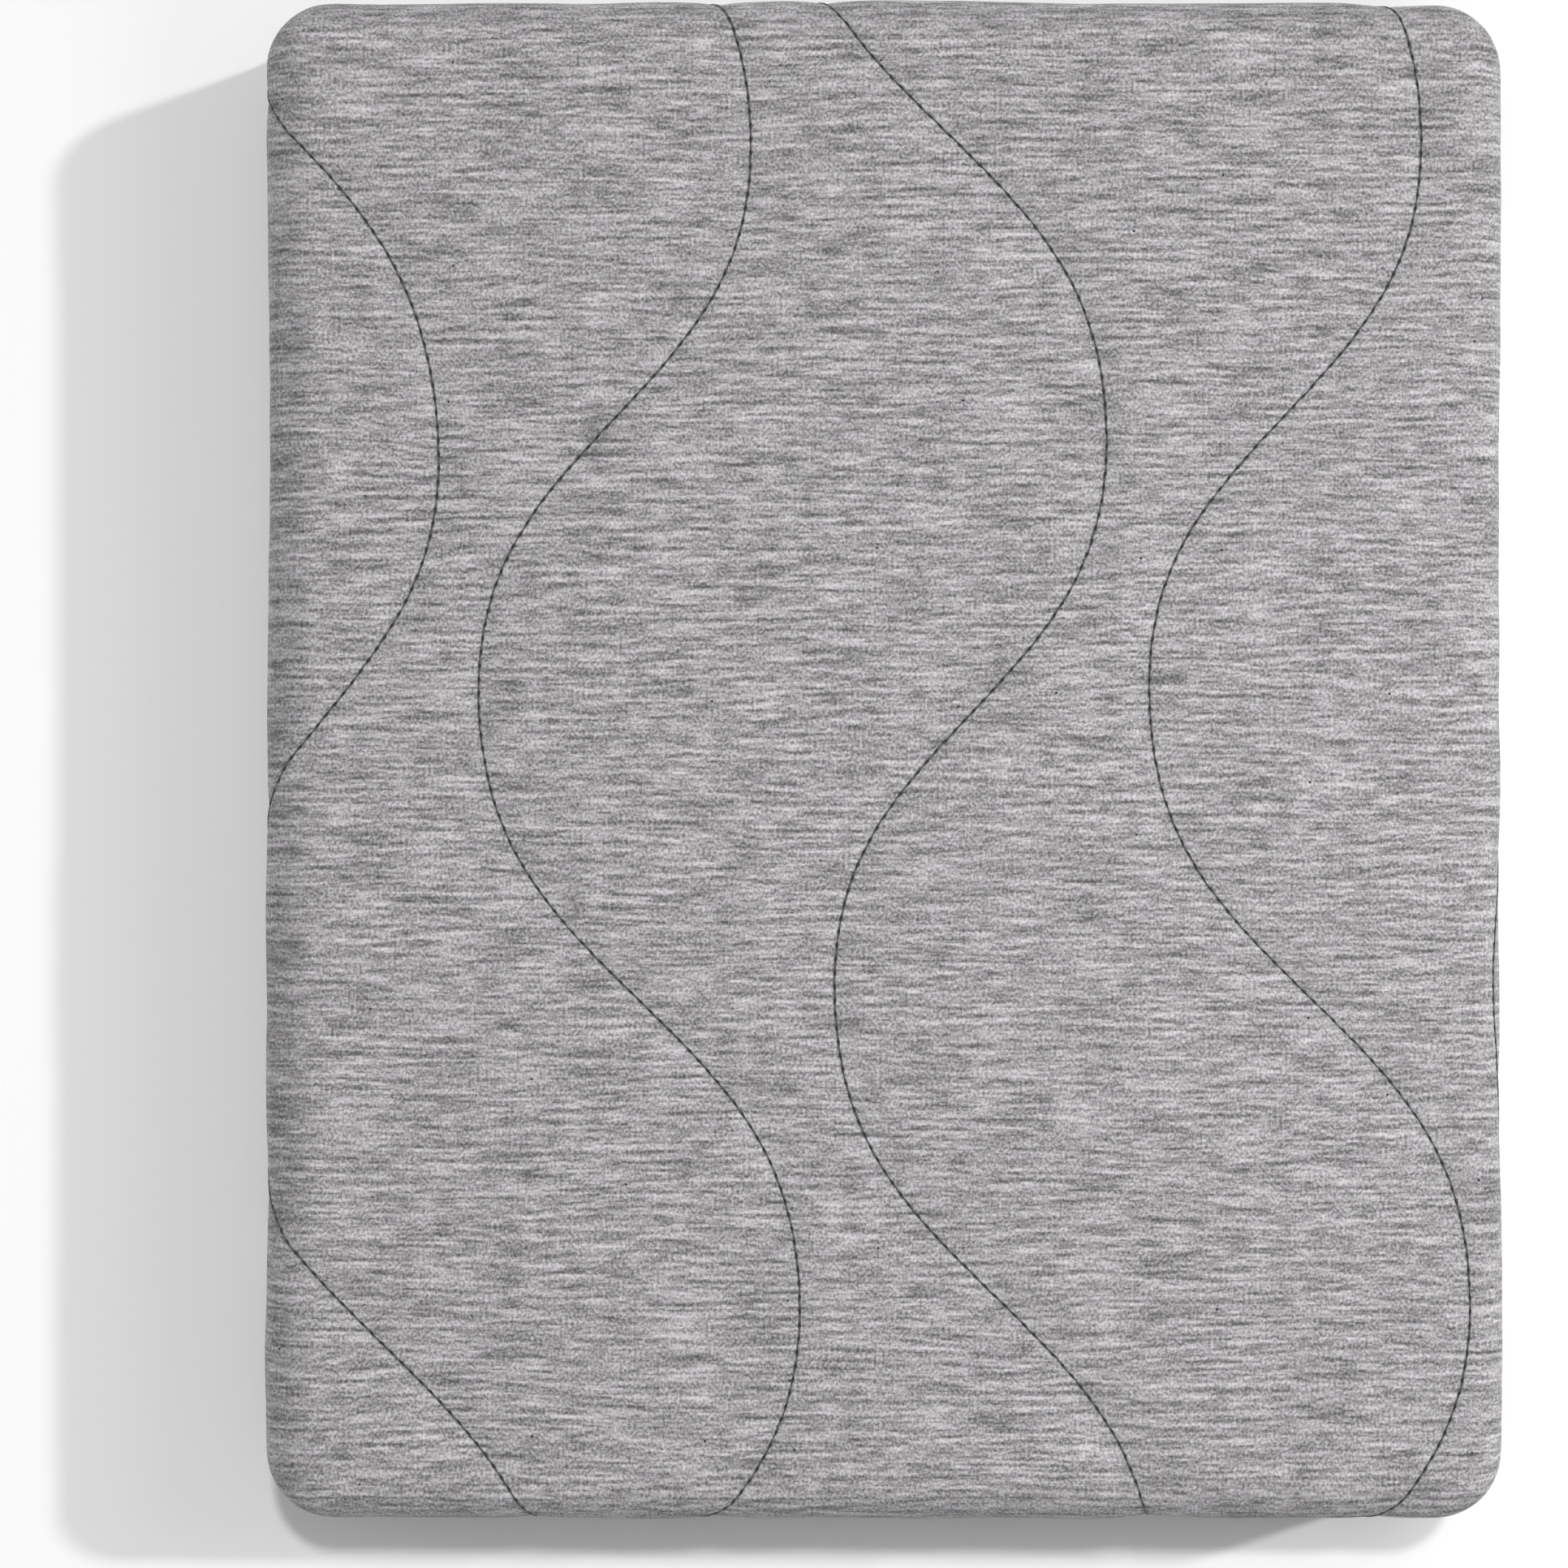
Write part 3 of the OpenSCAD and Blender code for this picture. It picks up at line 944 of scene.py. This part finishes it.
def coil_mesh(name, source, material, facing):
    """Half of a coil zipper: one loop a pitch, with a swollen head that reaches over the middle."""
    low, high = node_box(source)
    inset = HALF_W - high[0]
    centres, normals = outline_at(TOOTH)
    root, tip = (low[2], high[2]) if facing > 0 else (high[2], low[2])
    tip += facing * HEAD_REACH
    shift = 0.25 * facing * TOOTH
    # Place from root to tip, and the turn's width and depth there, as shares
    levels = ((0.0, 0.50, 0.70), (0.45, 0.46, 0.95), (0.8, 0.62, 1.0), (1.0, 0.40, 0.6))
    section = ((-1, 0.1), (-0.55, 0.0), (0.55, 0.0), (1, 0.1), (0.7, 1), (-0.7, 1))
    sides = len(section)
    verts, faces = [], []
    for centre, normal in zip(centres, normals):
        along = np.array([-normal[1], normal[0]])
        middle = at_inset(centre, normal, inset) + along * shift
        if middle[1] < 0 and CHAIN_GAP[0] < middle[0] < CHAIN_GAP[1]:
            continue
        start = len(verts)
        for share, wide, deep in levels:
            z = root + (tip - root) * share
            for side, back in section:
                depth = COIL_DEPTH * (0.5 + (back - 0.5) * deep)
                spot = middle + along * (side * wide * TOOTH / 2) - normal * depth
                verts.append((*spot, z))
        for level in range(len(levels) - 1):
            one = start + sides * level
            for k in range(sides):
                n = (k + 1) % sides
                faces.append((one + k, one + n, one + n + sides, one + k + sides)[::facing])
        faces.append(tuple(range(len(verts) - sides, len(verts)))[::facing])
        faces.append(tuple(range(start, start + sides))[::-facing])
    return new_object(name, verts, faces, material)


def coil_material():
    """Dark moulded plastic."""
    material, tree, surface = new_material("zipper_coil", 0.38, Coat_Weight=0.15)
    place = node(tree, "TexCoord").outputs["Object"]
    tone = noise(tree, scaled(tree, place, 40, 40, 300), 3)
    painted(tree, surface, tone, [(0.3, grey(0.035)), (0.7, grey(0.065))])
    bumped(tree, surface, tone, 0.1 * MM, 0.5)
    return material


def make_zipper():
    tape = woven_material("zipper_tape", grey(0.07), grey(0.13), 0.9 * MM)
    for half, body in (("upper", "cover"), ("lower", "core")):
        band_like(f"zip_tape_{half}_cloth", f"zip_tape_{half}", tape, body, "zipper_tape")
    coil = coil_material()
    for half, body, facing in (("upper", "cover", -1), ("lower", "core", 1)):
        source = f"zip_coil_{half}"
        ride_as(coil_mesh(f"{source}_turns", source, coil, facing), body, "zipper_coil", source)
    metal = metal_material("zipper_metal", 0.62, 0.34)
    for name in ("zip_slider", "zip_stop_upper", "zip_stop_lower"):
        give_material(name, metal)
    give_material("zip_pull", metal_material("pull_metal", 0.45, 0.40))
    make_end_tab(tape)


def give_material(name, material):
    obj = bpy.data.objects[name]
    for slot in obj.material_slots:
        slot.material = material


def make_hem():
    """Bound edge of the cover, and the sewing of the hem, upper tape and binding."""
    knit = woven_material("hem_knit", grey(0.20), grey(0.42), 1.3 * MM, roughness=0.9)
    low, high = node_box("cover_hem")
    top, bottom = high[2], low[2]
    bulge = 0.8 * MM
    inner = 12.3 * MM
    section = [(inner, bottom), (1.2 * MM, bottom), (0.1 * MM, bottom + 0.6 * MM),
               (-bulge, bottom + 2 * MM), (-bulge, bottom + 3.4 * MM),
               (-0.2 * MM, top + 0.9 * MM), (0.9 * MM, top + 1.4 * MM), (inner, top)]
    hem = sweep("cover_hem_binding", section, knit)
    ride_as(hem, "cover", "hem_knit", "cover_hem")
    thread = bpy.data.materials["quilt_thread"]
    tape_high = node_box("zip_tape_upper")[1]
    binding_low, binding_high = node_box("base_binding")
    ring_stitches("hem_stitches", -bulge, (top + bottom) / 2 + 0.7 * MM, thread, "cover")
    ring_stitches("tape_stitches", HALF_W - tape_high[0], tape_high[2] - 3 * MM, thread, "cover")
    ring_stitches("binding_stitches", HALF_W - binding_high[0], (binding_low[2] + binding_high[2]) / 2,
                  thread, "core")


PANEL_LIFT = 0.9 * MM  # the grip dots stand this far out of the underside


def make_panel():
    """Underside panel: a shallow tray with grip dots, and the binding round its rim."""
    high = node_box("base_panel")[1]
    inset = HALF_W - high[0]
    thick = 1.8 * MM
    margin = 30 * MM  # from the rim to the dots
    rim = high[2]

    def tray(at, base, radius):
        verts, faces, places, last = slab_mesh(at, base, rim, radius, 0, (80, 98), (5, 3, 0),
                                               closed=False)
        verts[:, 2] = rim + base - verts[:, 2]
        return verts, faces[:, ::-1], places, last

    outer, faces, places, last = tray(inset, PANEL_LIFT, 15 * MM)
    inner = tray(inset + thick, PANEL_LIFT + thick, 15 * MM - thick)[0]
    cloth = woven_material("panel_cloth", grey(0.045), grey(0.095), 1.6 * MM)
    panel = shell("base_panel_cloth", outer, inner, faces, last, places, cloth)
    ride_as(panel, "core", "panel_cloth", "base_panel")
    dots = dot_mesh("base_grip_dots", HALF_W - inset - margin, HALF_L - inset - margin)
    ride_as(dots, "core", "panel_cloth")
    tape = woven_material("binding_tape", grey(0.09), grey(0.16), 1.1 * MM)
    band_like("base_binding_tape", "base_binding", tape, "core", "binding_tape")


def dot_mesh(name, reach_x, reach_y):
    """Low rubber dots in staggered rows under the panel."""
    pitch = 28 * MM
    row_pitch = 0.866 * pitch
    radius = 3.2 * MM
    sides = 8
    around = [(math.cos(2 * math.pi * k / sides), math.sin(2 * math.pi * k / sides))
              for k in range(sides)]
    verts, faces = [], []
    rows = int(reach_y / row_pitch)
    for row in range(-rows, rows + 1):
        y = row * row_pitch
        shift = pitch / 2 if row % 2 else 0
        for column in range(-int(reach_x / pitch), int(reach_x / pitch)):
            x = column * pitch + shift
            start = len(verts)
            for share, z in ((1.0, PANEL_LIFT + 0.1 * MM), (0.85, 0.3 * MM), (0.5, 0.0)):
                wide = radius * share
                verts += [(x + wide * cos, y + wide * sin, z) for cos, sin in around]
            for level in range(2):
                one = start + sides * level
                for k in range(sides):
                    n = (k + 1) % sides
                    faces.append((one + n, one + k, one + k + sides, one + n + sides))
            faces.append(tuple(range(start + 3 * sides - 1, start + 2 * sides - 1, -1)))
    rubber, tree, surface = new_material("grip_rubber", 0.55)
    place = node(tree, "TexCoord").outputs["Object"]
    tone = noise(tree, scaled(tree, place, 300, 300, 300), 2)
    painted(tree, surface, tone, [(0.3, grey(0.02)), (0.7, grey(0.035))])
    return new_object(name, verts, faces, rubber)


# Name, slot, rounding of the upper and lower edges, dark and light tone, and size of the pores
FOAMS = (
    ("memory_foam", "memory_foam", (22 * MM, 1.5 * MM),
     grey(0.50, (0.86, 1.0, 1.06)), grey(0.70, (0.88, 1.0, 1.05)), 1.6 * MM),
    ("transition_foam", "transition_foam", (1.5 * MM, 1.5 * MM),
     grey(0.62, (0.97, 1.0, 1.0)), grey(0.80, (0.97, 1.0, 1.0)), 2.0 * MM),
    ("support_core", "support_foam", (1.5 * MM, 11.8 * MM),
     grey(0.64, (1.0, 0.98, 0.88)), grey(0.84, (1.0, 0.98, 0.9)), 2.6 * MM),
)


def make_core():
    """Foam layers in their knitted sock."""
    sock = rounded_block("fire_sock_knit", "fire_sock", rib_material(), (23.2 * MM, 13 * MM),
                         cells=(90, 110), rows=(5, 12, 4))
    ride_as(sock, "core", "sock_knit", "fire_sock")
    for name, slot, rounding, dark, light, cell in FOAMS:
        block = rounded_block(f"{name}_block", name, foam_material(slot, dark, light, cell), rounding)
        ride_as(block, "core", slot, name)


RIB = 3.2 * MM  # pitch of the sock's ribs


def rib_material():
    """White stretch knit with fine ribs."""
    material, tree, surface = new_material("sock_knit", 0.9, Sheen_Weight=0.1)
    place = place_of(tree)
    parts = split(tree, place)
    rib = maths(tree, "SINE", times(tree, parts[0], 2 * math.pi / RIB))
    slub = noise(tree, scaled(tree, place, 60, 400), 3)
    tone = scale_add(tree, rib, 0.2, slub)
    painted(tree, surface, tone, [(0.25, grey(0.58, (1, 0.99, 0.95))),
                                  (0.7, grey(0.82, (1, 0.99, 0.96)))])
    bumped(tree, surface, rib, 0.5 * MM, 0.7)
    return material


def two_faced(name, front, back, columns, material):
    """Closed piece of cloth between two grids of points, each with the given number of columns."""
    side = len(front)
    index = np.arange(side).reshape(-1, columns)
    quads = grid_quads(index)
    rim = grid_rim(index)
    after = np.roll(rim, -1)
    edge = np.column_stack([after, rim, rim + side, after + side])
    faces = np.vstack([quads, quads[:, ::-1] + side, edge])
    return new_object(name, np.vstack([front, back]), faces, material)


def make_label():
    """Blank satin label that hangs from the binding on the left side."""
    columns = 21
    low, high = node_box("care_label")
    y, drop = np.meshgrid(np.linspace(low[1], high[1], columns), np.linspace(0, 1, 9))
    y, drop = y.ravel(), drop.ravel()
    z = high[2] - (high[2] - low[2]) * drop
    curl = 1.5 * MM * drop ** 2 + 0.5 * MM * drop * np.sin(9 * (y - low[1]) / (high[1] - low[1]))
    front, back = (np.column_stack([high[0] - 0.1 * MM - layer - curl, y, z])
                   for layer in (0, 0.4 * MM))
    satin = woven_material("label_satin", grey(0.72), grey(0.84), 0.5 * MM, roughness=0.5)
    label = two_faced("care_label_satin", front, back, columns, satin)
    places = np.column_stack([y, z])
    set_vectors(label, "fab", np.vstack([places, places]))
    ride_as(label, "core", "label_satin", "care_label")


def make_end_tab(tape):
    """Folded tape over the ends of the zipper chain, with a sewn groove inside its rim."""
    columns = 33
    margin = 2.5 * MM  # from the tab's rim to its stitches
    low, high = node_box("zip_end_tab")
    middle, half = (low + high) / 2, (high - low) / 2
    u, w = np.meshgrid(np.linspace(-1, 1, columns), np.linspace(-1, 1, 21))
    u, w = u.ravel(), w.ravel()
    full = (1 - u ** 12) * (1 - w ** 10)
    sewn = margin + np.maximum(np.abs(u) * half[0] - half[0], np.abs(w) * half[2] - half[2])
    groove = 0.12 * np.exp(-(sewn / (0.7 * MM)) ** 2)
    x, z = middle[0] + u * half[0], middle[2] + w * half[2]
    places = np.column_stack([x, z])
    front = np.column_stack([x, middle[1] - half[1] * (0.2 + 0.8 * full - groove), z])
    back = np.column_stack([x, middle[1] + half[1] * (0.2 + 0.8 * full), z])
    tab = two_faced("zip_end_tab_cloth", front, back, columns, tape)
    set_vectors(tab, "fab", np.vstack([places, places]))
    ride_as(tab, "core", "zipper_tape", "zip_end_tab")


# ---------------------------------------------------------------- stage

CAMERA_PLACE = (-0.131, -0.031, 4.65)  # it looks straight down
OUTLINE_Z = 0.225  # height of the mattress's widest outline
FRAME_W = 2.045  # width of the view at that height
FLOOR_REACH = 40
BACKDROP = 0.93  # brightness of the empty studio behind the floor


def lamp(name, place, target, size, power):
    """Round softbox; size is its width."""
    data = bpy.data.lights.new(name, "AREA")
    data.shape = "DISK"
    data.size = size
    data.energy = power
    obj = linked(name, data)
    obj.location = place
    obj.rotation_mode = "QUATERNION"
    obj.rotation_quaternion = (Vector(target) - Vector(place)).to_track_quat("-Z", "Y")
    obj.visible_camera = False


def sun(name, direction, softness, strength):
    """Distant light that comes from a direction; softness is its width in degrees."""
    data = bpy.data.lights.new(name, "SUN")
    data.angle = math.radians(softness)
    data.energy = strength
    obj = linked(name, data)
    obj.rotation_mode = "QUATERNION"
    obj.rotation_quaternion = Vector(direction).to_track_quat("Z", "Y")


def studio_world():
    """Soft light, strongest from above and weak from both ends, with a low card on the left."""
    world = bpy.data.worlds.new("studio")
    bpy.context.scene.world = world
    world.use_nodes = True
    tree = world.node_tree
    background = tree.nodes["Background"]
    way = split(tree, node(tree, "TexCoord").outputs["Generated"])
    dome = scale_add(tree, way[2], 0.30, 0.25)
    ends = times(tree, way[1], way[1])
    dome = times(tree, dome, scale_add(tree, ends, -0.7, 1.0))
    left = scale_add(tree, way[0], -2.2, -0.6, clamp=True)
    low = scale_add(tree, way[2], -2.0, 1.3, clamp=True)
    card = times(tree, left, low)
    light = scale_add(tree, card, 0.7, dome)
    background.inputs["Color"].default_value = (1, 1, 1, 1)
    # The camera sees a pale backdrop, which doesn't light the scene
    seen = node(tree, "LightPath").outputs["Is Camera Ray"]
    shown = maths(tree, "MAXIMUM", light, times(tree, seen, BACKDROP))
    tree.links.new(shown, background.inputs["Strength"])


def make_stage():
    """Pale floor, lights, and the camera straight above."""
    material = new_material("floor", 0.9, Specular_IOR_Level=0.1, Base_Color=(0.88, 0.88, 0.88, 1))[0]
    spots = [(FLOOR_REACH * x, FLOOR_REACH * y, 0) for x, y in ((-1, -1), (1, -1), (1, 1), (-1, 1))]
    new_object("floor", spots, [(0, 1, 2, 3)], material, smooth=False)
    studio_world()
    lamp("fill_right", (1.3, 0, 2.1), (0, 0, 0.2), 1.2, 13)
    sun("low_right", (0.789, 0.275, 0.550), 3, 1.6)
    sun("high_head", (0.095, 0.397, 0.913), 4, 1.12)
    bpy.context.scene.view_settings.view_transform = "Standard"
    data = bpy.data.cameras.new("camera")
    camera = linked("camera", data)
    camera.location = CAMERA_PLACE
    data.sensor_width = 36
    data.lens = data.sensor_width * (CAMERA_PLACE[2] - OUTLINE_Z) / FRAME_W
    bpy.context.scene.camera = camera


make_cover()
make_hem()
make_zipper()
make_panel()
make_core()
make_label()
make_stage()


def corners(box):
    return [[float(x) for x in corner] for corner in box]
